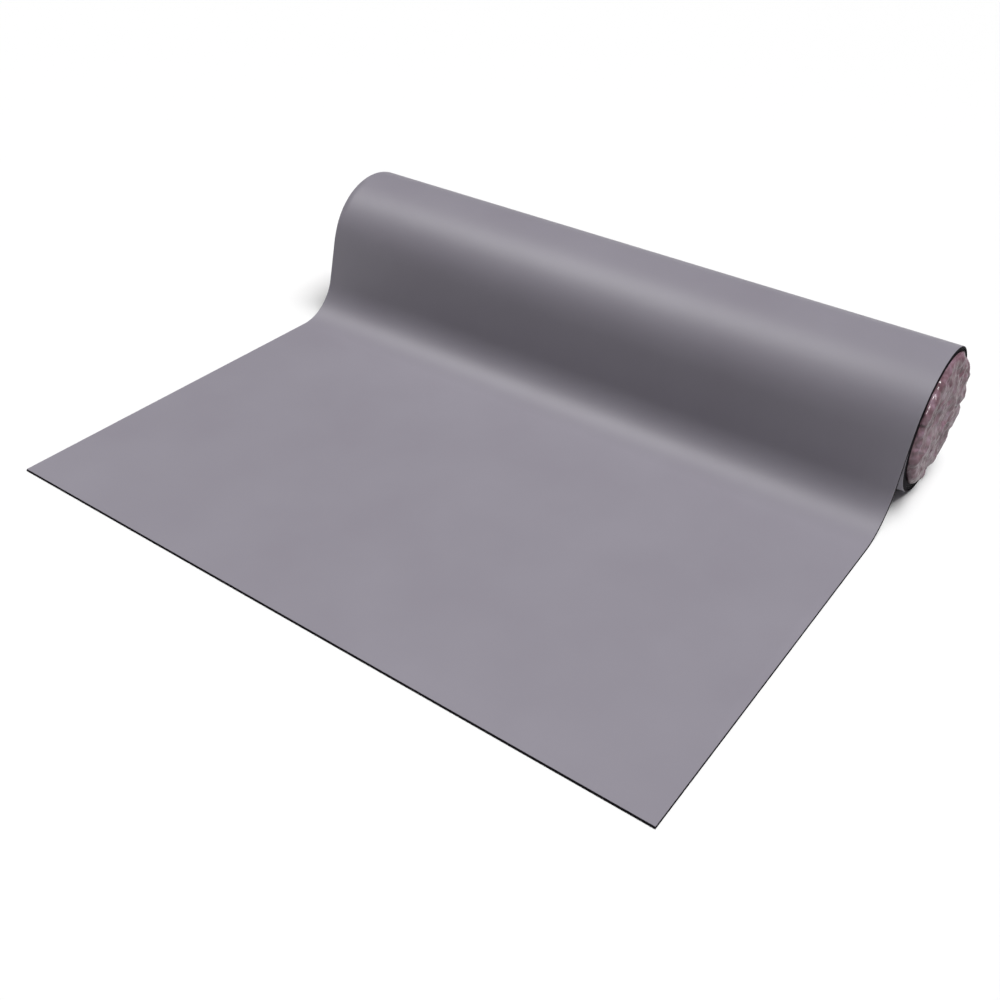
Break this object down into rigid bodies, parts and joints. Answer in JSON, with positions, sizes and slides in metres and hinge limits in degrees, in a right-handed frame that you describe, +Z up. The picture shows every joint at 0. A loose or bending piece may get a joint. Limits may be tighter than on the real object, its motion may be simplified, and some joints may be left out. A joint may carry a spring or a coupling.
{
  "type": "anti static bench mat roll",
  "caption": "Roll of two-layer anti-static rubber bench mat, grey over black, lying on its side with its free end run out flat and crumpled film over the roll's ends.",
  "frame": {"origin": "on the floor, under the middle of the object's bounding box", "axes": "+X along the roll's axis, across the sheet's width; -Y the way the free end points; +Z up"},
  "size_m": [0.9246, 0.7596, 0.1883],
  "materials": {
    "grey_rubber": "matte, finely textured, lavender grey",
    "black_rubber": "matte, cut edges slightly smooth",
    "pink_film": "thin glossy see-through film, crumpled, tinted pink"
  },
  "bodies": {
    "root": {"dissipative_top_layer": "grey_rubber", "conductive_base_layer": "black_rubber", "end_film_right": "pink_film", "end_film_left": "pink_film"}
  },
  "joints": []
}
